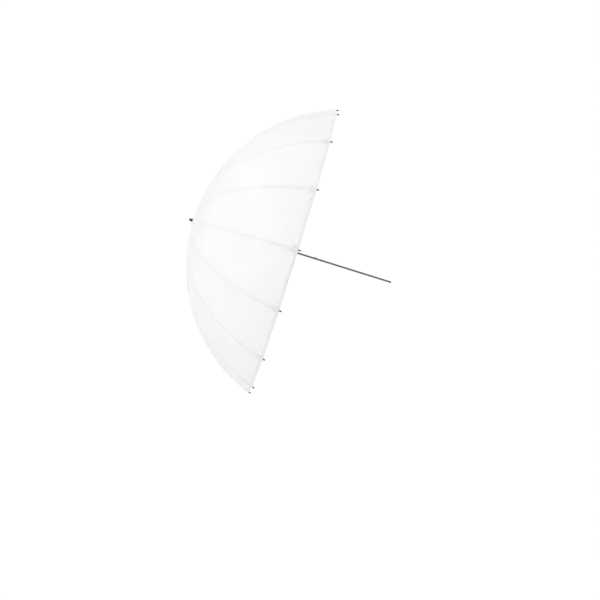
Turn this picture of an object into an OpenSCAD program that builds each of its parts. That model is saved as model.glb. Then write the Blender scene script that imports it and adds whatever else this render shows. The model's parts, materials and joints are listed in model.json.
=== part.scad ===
// Deep white studio umbrella: cloth canopy, glass-fibre ribs, stretchers, runner and steel shaft.
// The shaft lies along X. The origin is the place on the shaft where a stand's grip clamps it,
// the apex of the canopy points to -X, and the canopy opens towards +X and the free end.

/* [Canopy] */
// Opening across two opposite rib tips
canopy_d = 1050; // [950:10:1150]
// Depth from the plane of the rim to the apex
canopy_depth = 367; // [340:1:390]
// Thickness of the cloth solid
cloth_t = 0.8; // [0.6:0.1:1.2]
// Number of ribs, stretchers and cloth panels
rib_count = 16; // [12:2:16]

/* [Ribs and stretchers] */
// Diameter of a glass-fibre rib
rib_d = 3; // [2.4:0.1:3]
// Where the stretcher meets its rib, as an angle along the dome from the apex
bracket_angle = 24; // [20:1:27]
// Diameter of a stretcher rod
stretcher_d = 3.2; // [2.4:0.1:3.4]
// Distance from the apex to the runner's ring with the umbrella open
runner_open = 150; // [140:1:170]
// Radius of the rib tips round the shaft with the umbrella folded
folded_tip_r = 26; // [24:1:40]

/* [Shaft] */
// Outer diameter of the shaft
shaft_d = 8; // [8:0.5:10]
// Wall of the shaft tube
shaft_wall = 0.8; // [0.6:0.1:1]
// Distance from the rim's plane to the place where the grip clamps
clamp_to_rim = 296; // [200:1:400]
// Distance from the place where the grip clamps to the free end
clamp_to_end = 71; // [40:1:120]

/* [Hidden] */
small_nodes = ["shaft", "end_plug", "crown", "crown_ring", "shaft_pins", "canopy_washers",
               "ferrule_cap", "stop_ring", "runner", "runner_ring", "open_catch", "closed_catch"];

$fn = 48;
eps = 0.01;
arc_fn = 240;        // fragments of a full turn of the dome's arc

// dome: one circular arc from the apex to the rim
rim_r = canopy_d / 2;
dome_r = (rim_r * rim_r + canopy_depth * canopy_depth) / (2 * canopy_depth);
rim_angle = asin(rim_r / dome_r);
apex_x = -(clamp_to_rim + canopy_depth);
step = 360 / rib_count;
half = step / 2;
panel_start_r = 8;   // inner end of a panel, under the washers
panel_gap = 0.3;     // between neighbouring panels
panel_rows = 30;      // straight stretches from the apex to the rim

// rib fittings, in millimetres inside the outer face of the cloth
sleeve_d = 4.4;
rod_depth = cloth_t + 0.5 + sleeve_d / 2;
pivot_depth = rod_depth + 4.5;
root_r = 18;         // where the root sleeve starts
root_len = 15;
bracket_len = 14;
bracket_w = 5;
bracket_eye_d = 6;
bracket_pin_d = 2;
tip_d = 5;
tip_len = 4;
tip_socket = 3;

// hinge rings of the crown and the runner
ring_r = 11.5;
ring_wire = 1.4;
eye_bore = 1.6;
eye_d = 4.4;
tongue_t = 1.8;
slot_w = 2.2;
slot_floor = 9;
hub_d = 29;
crown_ring_x = 8;
crown_front = 2.3;
crown_back = 13;
crown_hub_end = 21;
crown_pin_x = 17;
crown_pin_d = 2;
crown_hub_d = 13;

// runner
runner_bore = shaft_d + 0.2;
runner_d = 12;
collar_d = 21;
runner_end = runner_open + 49;
window_start = 20;   // from the runner's ring
window_len = 12;
window_w = 3.8;

// linkage: how far the ribs turn and the runner slides from open to folded
function on_dome(a, depth) = [dome_r - (dome_r - depth) * cos(a), (dome_r - depth) * sin(a)];
function turned(p, c, a) = c + [(p.x - c.x) * cos(a) + (p.y - c.y) * sin(a),
                                (p.y - c.y) * cos(a) - (p.x - c.x) * sin(a)];
rib_hinge = [crown_ring_x, ring_r];
runner_hinge = [runner_open, ring_r];
rib_pivot = on_dome(bracket_angle, pivot_depth);
rib_end = on_dome(rim_angle, rod_depth);
rib_chord = rib_end - rib_hinge;
fold_angle = atan2(rib_chord.y, rib_chord.x) - asin((folded_tip_r - ring_r) / norm(rib_chord));
link = rib_pivot - runner_hinge;
stretcher_len = norm(link);
folded_pivot = turned(rib_pivot, rib_hinge, fold_angle);
folded_runner = folded_pivot.x + sqrt(pow(stretcher_len, 2) - pow(folded_pivot.y - ring_r, 2));
runner_travel = folded_runner - runner_open;

// stretcher
stretcher_bar = 14;
stretcher_sleeve_d = 4.4;
fork_gap = 5.6;
prong_t = 0.8;
prong_w = 5;
fork_len = 22;
fork_base = 8;
rivet_d = 3.6;
rivet_h = 0.6;

// catches: sprung levers inside the shaft, whose noses stand in the runner's window
catch_w = 3;
catch_arm = 22;
catch_pin_d = 1.5;
catch_eye_d = 3.2;
nose_len = 8;
nose_top = 6.2;
nose_flat = 2.2;
catch_play = 0.3;
catch_slot_w = 3.4;
open_nose_x = runner_open + window_start + catch_play;
closed_nose_x = runner_open + runner_travel + window_start + window_len - catch_play;

// shaft ends, stop groove and cap
shaft_start = -10;
shaft_end = canopy_depth + clamp_to_rim + clamp_to_end - 3;
groove_x = runner_end + runner_travel + 2.5;
groove_w = 1.6;
groove_d = shaft_d - 0.7;
washer_t = 1;
outer_washer_d = 34;
inner_washer_d = 24;
washer_gap = 0.3;
cap_back = -washer_gap - washer_t;
cap_flange_d = 16;
cap_flange_t = 2;
cap_d = 10;
cap_len = 8;
plug_d = shaft_d - 0.1;

// A cylinder on the shaft's axis between two distances from the apex
module on_shaft(from, to, d) {
    translate([from, 0, 0])
        rotate([0, 90, 0])
            cylinder(d = d, h = to - from);
}

// A round hole or pin across the shaft, along Y
module across(at, d, length) {
    translate([at[0], 0, at[1]])
        rotate([90, 0, 0])
            cylinder(d = d, h = length, center = true);
}

// Flat shapes drawn in the plane of a rib (distance from the apex, radius), made t thick
module plate(t) {
    rotate([90, 0, 0])
        for (k = [0:$children - 1])
            linear_extrude(t, center = true)
                children(k);
}

// A straight flat bar between two points of the rib's plane
module bar(p, q, w) {
    d = q - p;
    translate(p)
        rotate(atan2(d.y, d.x))
            translate([0, -w / 2])
                square([norm(d), w]);
}

// A straight cylinder on the tangent of the dome at an angle, starting before or after that point
module along_rib(a, depth, start, length, d) {
    p = on_dome(a, depth);
    translate([p.x, 0, p.y])
        rotate([0, a, 0])
            translate([0, 0, start])
                cylinder(d = d, h = length);
}

// Puts what is drawn from the apex, in the plane of rib 1, at rib i
module at_rib(i) {
    rotate([-(i - 1) * step, 0, 0])
        translate([apex_x, 0, 0])
            children();
}

module from_apex() {
    translate([apex_x, 0, 0])
        children();
}

// ---- shaft and what is fixed to it ----

module shaft() {
    bore_d = shaft_d - 2 * shaft_wall;
    color("silver")
        from_apex()
            difference() {
                on_shaft(shaft_start, shaft_end, shaft_d);
                on_shaft(shaft_start - 1, shaft_end + 1, bore_d);
                across([crown_pin_x, 0], crown_pin_d + 0.1, shaft_d + 2);
                across([open_nose_x - catch_arm, 0], catch_pin_d + 0.1, shaft_d + 2);
                across([closed_nose_x + catch_arm, 0], catch_pin_d + 0.1, shaft_d + 2);
                nose_slot(open_nose_x - 0.5);
                nose_slot(closed_nose_x - nose_len - 1.4);
                stop_groove();
            }
}

// Slot in the top of the tube that lets a catch's nose through
module nose_slot(x) {
    translate([x, -catch_slot_w / 2, 1])
        cube([nose_len + 1.9, catch_slot_w, shaft_d]);
}

module stop_groove() {
    difference() {
        on_shaft(groove_x, groove_x + groove_w, shaft_d + 2);
        on_shaft(groove_x - 1, groove_x + groove_w + 1, groove_d);
    }
}

// Snap ring that keeps the runner on the shaft
module stop_ring() {
    color("dimgray")
        from_apex()
            difference() {
                on_shaft(groove_x + 0.1, groove_x + groove_w - 0.1, shaft_d + 3);
                on_shaft(groove_x - 1, groove_x + groove_w + 1, groove_d + 0.1);
                // the open side by which the ring is sprung on
                translate([groove_x - 1, -1.5, -shaft_d])
                    cube([groove_w + 2, 3, shaft_d]);
            }
}

module end_plug() {
    inner_d = shaft_d - 2 * shaft_wall - 0.1;
    color("dimgray")
        from_apex() {
            on_shaft(shaft_end - 10, shaft_end + eps, inner_d);
            on_shaft(shaft_end, shaft_end + 2, plug_d);
            translate([shaft_end + 2 - eps, 0, 0])
                rotate([0, 90, 0])
                    cylinder(d1 = plug_d, d2 = plug_d - 1.6, h = 1);
        }
}

// Slots and wire groove that let the tongues of ribs or stretchers turn on a ring
module hinge_slots(ring_x, from, to) {
    for (i = [0:rib_count - 1])
        rotate([-i * step, 0, 0])
            translate([from, -slot_w / 2, slot_floor])
                cube([to - from, slot_w, hub_d / 2]);
    difference() {
        on_shaft(ring_x - 0.8, ring_x + 0.8, hub_d + 1);
        on_shaft(ring_x - 1, ring_x + 1, 2 * ring_r - ring_wire - 0.1);
    }
}

module hinge_ring(ring_x) {
    translate([ring_x, 0, 0])
        rotate([0, 90, 0])
            rotate_extrude($fn = 96)
                translate([ring_r, 0])
                    circle(d = ring_wire, $fn = 24);
}

// Notched crown, pinned to the shaft under the apex
module crown() {
    color("dimgray")
        from_apex()
            difference() {
                union() {
                    on_shaft(crown_front, crown_back, hub_d);
                    on_shaft(crown_back - eps, crown_hub_end, crown_hub_d);
                }
                on_shaft(crown_front - 1, crown_hub_end + 1, shaft_d);
                across([crown_pin_x, 0], crown_pin_d + 0.1, crown_hub_d + 2);
                hinge_slots(crown_ring_x, crown_front + 1.8, crown_back + 1);
            }
}

module crown_ring() {
    color("silver")
        from_apex()
            hinge_ring(crown_ring_x);
}

// The crown's pin and the two pins that the catches turn on
module shaft_pins() {
    color("darkgray")
        from_apex() {
            across([crown_pin_x, 0], crown_pin_d, crown_hub_d - 0.4);
            across([open_nose_x - catch_arm, 0], catch_pin_d, shaft_d - 0.4);
            across([closed_nose_x + catch_arm, 0], catch_pin_d, shaft_d - 0.4);
        }
}

// Washers that hold the cloth at the apex, one outside and one inside
module canopy_washers() {
    color("whitesmoke")
        from_apex() {
            difference() {
                on_shaft(cap_back, cap_back + washer_t, outer_washer_d);
                on_shaft(cap_back - 1, cap_back + washer_t + 1, shaft_d);
            }
            difference() {
                on_shaft(crown_front - washer_t, crown_front, inner_washer_d);
                on_shaft(crown_front - 2, crown_front + 1, shaft_d);
            }
        }
}

module ferrule_cap() {
    color("dimgray")
        from_apex()
            difference() {
                union() {
                    on_shaft(cap_back - cap_flange_t, cap_back, cap_flange_d);
                    on_shaft(cap_back - cap_len, cap_back - eps, cap_d);
                    translate([cap_back - cap_len, 0, 0])
                        sphere(d = cap_d);
                }
                on_shaft(shaft_start, cap_back + 1, shaft_d);
            }
}

// ---- runner ----

module runner() {
    color("dimgray")
        from_apex()
            difference() {
                union() {
                    on_shaft(runner_open - 9, runner_open - 5 + eps, crown_hub_d);
                    on_shaft(runner_open - 5, runner_open + 6, hub_d);
                    on_shaft(runner_open + 6 - eps, runner_end, runner_d);
                    on_shaft(runner_end - 4, runner_end, collar_d);
                }
                on_shaft(runner_open - 10, runner_end + 1, runner_bore);
                hinge_slots(runner_open, runner_open - 10, runner_open + 4);
                translate([runner_open + window_start, -window_w / 2, 0])
                    cube([window_len, window_w, runner_d]);
            }
}

module runner_ring() {
    color("silver")
        from_apex()
            hinge_ring(runner_open);
}

// ---- catches ----

// Bent spring lever: eye on its pin, arm inside the tube, nose through the slot.
// Drawn with the nose's steep face at zero and the pin towards -X.
module catch_lever() {
    difference() {
        plate(catch_w) {
            translate([-catch_arm, 0])
                circle(d = catch_eye_d);
            bar([-catch_arm, 0], [1, 1.7], 1.2);
            bar([-catch_arm, 0], [-catch_arm - 8, 0.6], 0.8);
            polygon([[0, 1.1], [0, nose_top], [nose_flat, nose_top], [nose_len, 3], [nose_len, 1.1]]);
        }
        across([-catch_arm, 0], catch_pin_d + 0.12, catch_w + 1);
    }
}

module open_catch() {
    color("silver")
        from_apex()
            translate([open_nose_x, 0, 0])
                catch_lever();
}

module closed_catch() {
    color("silver")
        from_apex()
            translate([closed_nose_x, 0, 0])
                mirror([1, 0, 0])
                    catch_lever();
}

// ---- ribs ----

// Steel root: a flat tongue with the eye that turns on the crown's ring, and a sleeve on the rod
module rib_root() {
    a = asin(root_r / dome_r);
    start = on_dome(a, rod_depth);
    color("silver")
        difference() {
            union() {
                plate(tongue_t) {
                    translate(rib_hinge)
                        circle(d = eye_d);
                    bar(rib_hinge, start + [-0.1, 2], 3.4);
                }
                along_rib(a, rod_depth, 0, root_len, sleeve_d);
            }
            across(rib_hinge, eye_bore, tongue_t + 1);
            along_rib(a, rod_depth, 3, root_len, rib_d + 0.2);
        }
}

module rib_rod() {
    a0 = asin((root_r + 4) / dome_r);
    a1 = rim_angle + atan(tip_socket / dome_r);
    color("white")
        translate([dome_r, 0, 0])
            rotate([90, 0, 0])
                rotate([0, 0, 180 - a1])
                    rotate_extrude(angle = a1 - a0, $fn = arc_fn)
                        translate([dome_r - rod_depth, 0])
                            circle(d = rib_d, $fn = 24);
}

// Clip on the rod, whose eye lies between the prongs of the stretcher's fork
module rib_bracket() {
    middle = on_dome(bracket_angle, rod_depth);
    color("dimgray")
        difference() {
            union() {
                along_rib(bracket_angle, rod_depth, -bracket_len / 2, bracket_len, sleeve_d);
                plate(bracket_w) {
                    translate(rib_pivot)
                        circle(d = bracket_eye_d);
                    bar(middle, rib_pivot, bracket_eye_d);
                }
            }
            across(rib_pivot, bracket_pin_d, bracket_w + 1);
            along_rib(bracket_angle, rod_depth, -bracket_len, 2 * bracket_len, rib_d + 0.2);
        }
    color("silver")
        across(rib_pivot, bracket_pin_d - 0.1, bracket_w);
}

// Moulded tip that takes the end of the rod and the corner of the cloth
module rib_tip() {
    color("dimgray")
        difference() {
            union() {
                along_rib(rim_angle, rod_depth, 0.4, tip_len, tip_d);
                translate([rib_end.x, 0, rib_end.y])
                    rotate([0, rim_angle, 0])
                        translate([0, 0, tip_len + 0.4])
                            sphere(d = tip_d);
            }
            along_rib(rim_angle, rod_depth, -1, tip_socket + 1.5, rib_d + 0.2);
        }
}

module rib(i) {
    at_rib(i) {
        rib_root();
        rib_rod();
        rib_bracket();
        rib_tip();
    }
}

// ---- stretchers ----

// Drawn along +Z from the runner's ring to the open pivot, then leant to its place
module stretcher_parts() {
    fork_root = stretcher_len - fork_len;
    color("silver")
        difference() {
            union() {
                plate(tongue_t) {
                    circle(d = eye_d);
                    bar([0, 0], [0, stretcher_bar], 3.4);
                }
                translate([0, 0, stretcher_bar - 2])
                    cylinder(d = stretcher_sleeve_d, h = 12);
            }
            across([0, 0], eye_bore, tongue_t + 1);
            translate([0, 0, stretcher_bar + 1])
                cylinder(d = stretcher_d, h = 12);
        }
    color("lightgray")
        translate([0, 0, stretcher_bar + 1])
            cylinder(d = stretcher_d, h = fork_root - 4 - stretcher_bar);
    color("silver")
        difference() {
            union() {
                translate([-prong_w / 2, -fork_gap / 2 - prong_t, fork_root - fork_base])
                    cube([prong_w, fork_gap + 2 * prong_t, fork_base]);
                for (side = [-1, 1])
                    fork_prong(side, fork_root);
            }
            translate([0, 0, fork_root - fork_base - 1])
                cylinder(d = stretcher_d, h = fork_base - 2);
        }
}

// One prong of the fork, with its rivet head outside; the eye of the bracket lies between the two
module fork_prong(side, from) {
    middle = side * (fork_gap + prong_t) / 2;
    translate([0, middle, 0])
        plate(prong_t) {
            bar([0, from - 1], [0, stretcher_len], prong_w);
            translate([0, stretcher_len])
                circle(d = prong_w);
        }
    translate([0, side * (fork_gap / 2 + prong_t), stretcher_len])
        rotate([-90 * side, 0, 0])
            cylinder(d = rivet_d, h = rivet_h);
}

module stretcher(i) {
    at_rib(i)
        translate([runner_hinge.x, 0, runner_hinge.y])
            rotate([0, atan2(link.x, link.y), 0])
                stretcher_parts();
}

// ---- canopy ----

// The three points across a panel at one angle of the dome: mid-gore, rib, mid-gore.
// Between ribs the cloth is drawn straight, so a panel is two flat-ruled halves.
function panel_row(a, depth) =
    let (
        p = on_dome(a, depth),
        trim = panel_gap / 2,
        y = p.y * cos(half) * sin(half) - trim * cos(half),
        z = p.y * cos(half) * cos(half) + trim * sin(half)
    )
    [[p.x, -y, z], [p.x, 0, p.y], [p.x, y, z]];

function reversed(list) = [for (i = [len(list) - 1:-1:0]) list[i]];

// Cloth from mid-gore to mid-gore, centred on its rib
module panel(i) {
    a0 = asin(panel_start_r / dome_r);
    rows = [for (k = [0:panel_rows]) a0 + (rim_angle - a0) * k / panel_rows];
    points = [for (a = rows) each concat(panel_row(a, 0), reversed(panel_row(a, cloth_t)))];
    last = 6 * panel_rows;
    sides = [for (k = [0:panel_rows - 1], j = [0:5])
        [6 * k + j, 6 * k + (j + 1) % 6, 6 * (k + 1) + (j + 1) % 6, 6 * (k + 1) + j]];
    caps = [[0, 5, 4, 1], [1, 4, 3, 2],
            [last, last + 1, last + 4, last + 5], [last + 1, last + 2, last + 3, last + 4]];
    color("white")
        at_rib(i)
            polyhedron(points, concat(sides, caps), convexity = 4);
}

shaft();
end_plug();
crown();
crown_ring();
shaft_pins();
canopy_washers();
ferrule_cap();
stop_ring();
runner();
runner_ring();
open_catch();
closed_catch();
for (i = [1:rib_count]) rib(i);
for (i = [1:rib_count]) stretcher(i);
for (i = [1:rib_count]) panel(i);
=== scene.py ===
"""Deep white studio umbrella: sewn cloth, ribs, stretchers, hub, shaft and its stage."""

import functools
import json
import math
from contextlib import contextmanager

import bpy
import numpy as np
from bpy.props import FloatProperty, FloatVectorProperty, IntProperty, PointerProperty
from mathutils import Matrix, Vector

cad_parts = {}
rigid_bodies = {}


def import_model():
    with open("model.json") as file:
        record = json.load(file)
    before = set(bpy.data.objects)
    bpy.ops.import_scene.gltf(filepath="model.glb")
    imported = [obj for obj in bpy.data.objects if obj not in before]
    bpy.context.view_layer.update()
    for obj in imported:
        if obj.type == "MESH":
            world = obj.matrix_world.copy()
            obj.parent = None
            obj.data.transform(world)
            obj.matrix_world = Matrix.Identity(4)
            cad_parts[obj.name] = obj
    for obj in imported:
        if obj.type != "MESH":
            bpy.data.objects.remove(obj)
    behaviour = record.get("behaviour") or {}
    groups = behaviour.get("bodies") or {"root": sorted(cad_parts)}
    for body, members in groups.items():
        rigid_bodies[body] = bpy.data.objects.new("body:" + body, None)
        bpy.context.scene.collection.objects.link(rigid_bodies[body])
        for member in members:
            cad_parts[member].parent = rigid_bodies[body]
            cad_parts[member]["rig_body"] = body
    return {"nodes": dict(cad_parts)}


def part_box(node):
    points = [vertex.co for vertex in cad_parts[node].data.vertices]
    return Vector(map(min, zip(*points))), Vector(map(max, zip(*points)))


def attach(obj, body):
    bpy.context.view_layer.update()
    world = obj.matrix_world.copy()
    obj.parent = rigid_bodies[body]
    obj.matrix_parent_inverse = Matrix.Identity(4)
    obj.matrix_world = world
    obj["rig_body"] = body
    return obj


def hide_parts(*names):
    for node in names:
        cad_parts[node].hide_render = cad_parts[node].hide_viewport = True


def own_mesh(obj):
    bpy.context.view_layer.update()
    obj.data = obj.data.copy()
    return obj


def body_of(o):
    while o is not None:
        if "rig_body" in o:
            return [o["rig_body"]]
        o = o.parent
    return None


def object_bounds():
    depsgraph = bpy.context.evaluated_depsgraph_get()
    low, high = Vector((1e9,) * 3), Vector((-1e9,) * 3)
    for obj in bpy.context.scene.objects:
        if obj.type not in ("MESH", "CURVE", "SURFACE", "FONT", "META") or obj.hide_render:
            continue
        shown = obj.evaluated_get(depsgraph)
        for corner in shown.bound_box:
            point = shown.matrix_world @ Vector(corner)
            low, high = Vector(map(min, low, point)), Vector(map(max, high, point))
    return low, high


bl_info = {
    "name": "Studio umbrella",
    "version": (1, 0, 0),
    "blender": (4, 5, 0),
    "location": "3D View > Sidebar > Umbrella",
    "description": "Builds the cloth, ribs, hub and shaft of a deep studio umbrella",
    "category": "Object",
}

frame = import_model()
cad_low, cad_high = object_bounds()

MM = 0.001

# The dome that the cloth follows, worked out from the frame: one arc from the apex to the rim,
# turned about the shaft, which lies along X. Rib 1 stands at +Z and the others follow towards +Y.
RIBS = sum(name.startswith("rib_") for name in frame["nodes"])
STEP = math.tau / RIBS
CLOTH_START_R = 8 * MM
panel_low, panel_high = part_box("panel_1")
RIM_X = panel_high.x
RIM_R = panel_high.z
DOME_X = (RIM_X**2 + RIM_R**2 - panel_low.x**2 - CLOTH_START_R**2) / (2 * (RIM_X - panel_low.x))
DOME_R = math.hypot(RIM_X - DOME_X, RIM_R)
RIM_ANGLE = math.acos((DOME_X - RIM_X) / DOME_R)
CLOTH_START = math.asin(CLOTH_START_R / DOME_R)
ARC_LENGTH = DOME_R * (RIM_ANGLE - CLOTH_START)

# Depths below the cloth's outer face, and the sizes of the fittings that the frame fixes
ROD_DEPTH = 3.5 * MM
PIVOT_DEPTH = 8 * MM
PIVOT_ANGLE = math.radians(24)
RING_R = (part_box("crown_ring")[1].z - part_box("crown_ring")[0].z) / 2 - 0.7 * MM
CROWN_RING_X = (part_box("crown_ring")[0].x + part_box("crown_ring")[1].x) / 2
RUNNER_RING_X = (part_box("runner_ring")[0].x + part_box("runner_ring")[1].x) / 2


# ---- sizes and colours that a user would change ----


def linear(hex_colour):
    """An sRGB colour written as hex, as linear red, green and blue."""
    parts = [int(hex_colour[k : k + 2], 16) / 255 for k in (0, 2, 4)]
    return [c / 12.92 if c <= 0.04045 else ((c + 0.055) / 1.055) ** 2.4 for c in parts]


def length(name, description, default):
    """A length in metres, shown in the scene's unit."""
    return FloatProperty(
        name=name, description=description, default=default, min=0, unit="LENGTH", precision=4
    )


def tint(name, description, hex_colour):
    """A colour, given as sRGB hex."""
    return FloatVectorProperty(
        name=name, description=description, default=linear(hex_colour), subtype="COLOR",
        min=0, max=1,
    )


class CanopySettings(bpy.types.PropertyGroup):
    """The sewn cloth."""

    thickness: length("Cloth", "Thickness of the cloth", 0.3 * MM)
    dip: length("Dip", "How far a gore is drawn in between its two ribs", 5 * MM)
    scallop: length("Scallop", "How far the hem bows in between two tips", 2 * MM)
    ripple: length("Ripple", "Height of the long soft waves in a gore", 0.7 * MM)
    pucker: length("Pucker", "Height of the small waves beside a seam", 0.45 * MM)
    corner_fold: length("Corner folds", "Height of the folds that spread from a tip", 1.1 * MM)
    seam_width: length("Seam", "Width of the felled seam over a rib", 9 * MM)
    seam_height: length("Seam height", "How far a seam stands proud of the cloth", 0.3 * MM)
    hem_width: length("Hem", "Width of the hem along the rim", 10 * MM)
    stitch_pitch: length("Stitch pitch", "From one stitch to the next", 4.5 * MM)
    rows: IntProperty(name="Rows", description="Faces along a gore", default=140, min=20, max=300)
    columns: IntProperty(name="Columns", description="Faces across half a gore", default=15, min=4)
    colour: tint("Cloth", "Colour of the cloth", "FDFDFD")


class FittingSettings(bpy.types.PropertyGroup):
    """Ribs, stretchers and the parts on the shaft."""

    rod: length("Rod", "Diameter of a glass-fibre rib", 3 * MM)
    sleeve: length("Sleeve", "Diameter of the metal and plastic sleeves on a rib", 4.4 * MM)
    tip: length("Tip", "Diameter of the tip at the end of a rib", 5 * MM)
    stretcher: length("Stretcher", "Diameter of a stretcher's rod", 3.2 * MM)
    edge: length("Edge", "Radius of the broken edges on moulded parts", 0.35 * MM)
    plastic_colour: tint("Plastic", "Colour of tips, cap, brackets and plug", "26272A")
    hub_colour: tint("Hub", "Colour of the crown and the runner", "303135")
    rod_colour: tint("Rods", "Colour of the glass-fibre ribs", "EDEEEA")


class StageSettings(bpy.types.PropertyGroup):
    """Camera, backdrop and lights."""

    azimuth: FloatProperty(
        name="Azimuth", description="Direction that the camera stands in", subtype="ANGLE",
        default=math.radians(-2.83),
    )
    elevation: FloatProperty(
        name="Elevation", description="Camera's height as an angle", subtype="ANGLE",
        default=math.radians(1.0),
    )
    roll: FloatProperty(
        name="Roll", description="Camera's turn about its own line of sight", subtype="ANGLE",
        default=math.radians(17.29),
    )
    distance: length("Distance", "From the camera to the rim's plane", 4.381)
    aim_right: FloatProperty(
        name="Aim right", description="Aim, to the right of the rim's centre", default=0.0267,
        unit="LENGTH",
    )
    aim_up: FloatProperty(
        name="Aim up", description="Aim, above the rim's centre", default=-0.1716, unit="LENGTH"
    )
    lens: FloatProperty(
        name="Lens", description="Focal length for a 36 mm sensor", default=74.23, unit="CAMERA"
    )
    floor_drop: length("Floor", "From the shaft down to the floor", 1.8)
    floor_radius: length("Floor radius", "Where the floor has faded into the backdrop", 1.4)
    backdrop_colour: tint("Backdrop", "Backdrop away from the lit wall", "DEDFE1")
    floor_colour: tint("Floor", "Paper floor", "F2F2F2")


# ---- the cloth as a surface ----

# Spacing and reach of the cloth's small shapes, in metres along the cloth
SHORT_RIPPLE, LONG_RIPPLE = 0.031, 0.053
PUCKER, PUCKER_DRIFT = 0.0042, 0.019
PUCKER_REACH = 0.012
SEAM_HOLD = 0.0035
SEAM_WOBBLE = 0.0045
FOLD_REACH, FOLD_START = 0.1, 0.03
# Share of the arc over which the small shapes grow from nothing at the apex
APEX_CALM = 0.08
# Turn from one gore's waves to the next one's, the golden angle, so that no two match
GORE_TURN = 2.399
# Step for slopes, as a share of a gore
SLOPE_STEP = 0.002
# Most of a gore that half a seam may take, and where its stitches lie across it and how high
SEAM_SHARE = 0.46
STITCH_PLACE, STITCH_RISE = 0.6, 0.62


def rib_angle(i):
    """Turn of rib i about the shaft, from +Z towards +Y."""
    return (i - 1) * STEP


def on_dome(angle, depth=0.0):
    """(x, distance from the shaft) of a point under the dome's arc."""
    return DOME_X - (DOME_R - depth) * math.cos(angle), (DOME_R - depth) * math.sin(angle)


def gore_width(along):
    """Straight distance between two ribs at a share of the arc."""
    ring = DOME_R * np.sin(CLOTH_START + (RIM_ANGLE - CLOTH_START) * along)
    return 2 * ring * math.sin(STEP / 2)


def waves(gore, across, along):
    """How far the cloth lies in from its straight gore: dip, ripples, puckers and corner folds.

    Every part is zero on the ribs and runs smoothly through mid-gore, where panels meet.
    """
    s = bpy.context.scene.umbrella_canopy
    along = np.maximum(along, 0)
    turn = gore * GORE_TURN
    width = gore_width(along)
    run = along * ARC_LENGTH
    bow = 4 * across * (1 - across)
    dip = s.dip * bow * (np.sin(np.pi * along**0.85) + 0.25 * along**4)
    ripple = s.ripple * bow * np.sin(np.pi * along) * (
        np.sin(run / SHORT_RIPPLE + turn + 2.2 * across)
        + 0.6 * np.sin(run / LONG_RIPPLE - turn + 5 * across)
    )
    near = 0
    for side, off in enumerate((across * width, (1 - across) * width)):
        held = 1 - np.exp(-((off / SEAM_HOLD) ** 2))
        beat = np.sin(run / PUCKER + 1.4 * np.sin(run / PUCKER_DRIFT + turn) + side + turn)
        near = near + s.pucker * held * np.exp(-((off / PUCKER_REACH) ** 2)) * beat
        reach = np.hypot(off, ARC_LENGTH - run)
        lean = np.arctan2(off, np.maximum(ARC_LENGTH - run, 1e-6))
        fold = np.sin(2 * lean) * np.sin(9 * lean + turn + side) * np.exp(-reach / FOLD_REACH)
        near = near + s.corner_fold * held * fold * np.minimum(reach / FOLD_START, 1)
    return dip + ripple + near * np.minimum(along / APEX_CALM, 1)


def cloth_point(gore, across, along, depth=0.0):
    """Points of the cloth in gore number gore, which lies between rib gore and the next one.

    across goes from 0 on the first rib to 1 on the next, along from 0 at the apex to 1 at the rim.
    """
    across, along = np.broadcast_arrays(np.asarray(across, float), np.asarray(along, float))
    scallop = bpy.context.scene.umbrella_canopy.scallop / ARC_LENGTH
    share = along - scallop * 4 * across * (1 - across) * np.clip(along, 0, 1) ** 8
    angle = CLOTH_START + (RIM_ANGLE - CLOTH_START) * share
    first, second = rib_angle(gore), rib_angle(gore + 1)
    y = (1 - across) * math.sin(first) + across * math.sin(second)
    z = (1 - across) * math.cos(first) + across * math.cos(second)
    size = np.hypot(y, z)
    inward = waves(gore, across, along) + depth
    ring = DOME_R * np.sin(angle)
    return np.stack(
        [
            DOME_X - (DOME_R - inward) * np.cos(angle),
            y * ring - inward * np.sin(angle) * y / size,
            z * ring - inward * np.sin(angle) * z / size,
        ],
        -1,
    )


def cloth_normal(gore, across, along):
    """Outward normals of the cloth, from its slope on both sides of each point."""
    h = SLOPE_STEP
    over = cloth_point(gore, across + h, along) - cloth_point(gore, across - h, along)
    down = cloth_point(gore, across, along + h) - cloth_point(gore, across, along - h)
    n = np.cross(down, over)
    return n / np.linalg.norm(n, axis=-1, keepdims=True)


def beside_rib(i, offset, along, depth=0.0):
    """Points of the cloth at a distance to one side of rib i: below 0 is the gore before it."""
    offset, along = np.broadcast_arrays(np.asarray(offset, float), np.asarray(along, float))
    share = np.clip(np.abs(offset) / gore_width(along), 0, 0.5)
    before = cloth_point(i - 1, 1 - share, along, depth)
    after = cloth_point(i, share, along, depth)
    return np.where((offset < 0)[..., None], before, after)


# ---- making meshes and objects ----


def collection_of(name):
    """The named collection of the scene, made if it isn't there."""
    found = bpy.data.collections.get(name)
    if found is None:
        found = bpy.data.collections.new(name)
        bpy.context.scene.collection.children.link(found)
    return found


def new_object(name, mesh, group):
    """An object in the group's collection."""
    made = bpy.data.objects.new(name, mesh)
    collection_of(group).objects.link(made)
    return made


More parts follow.
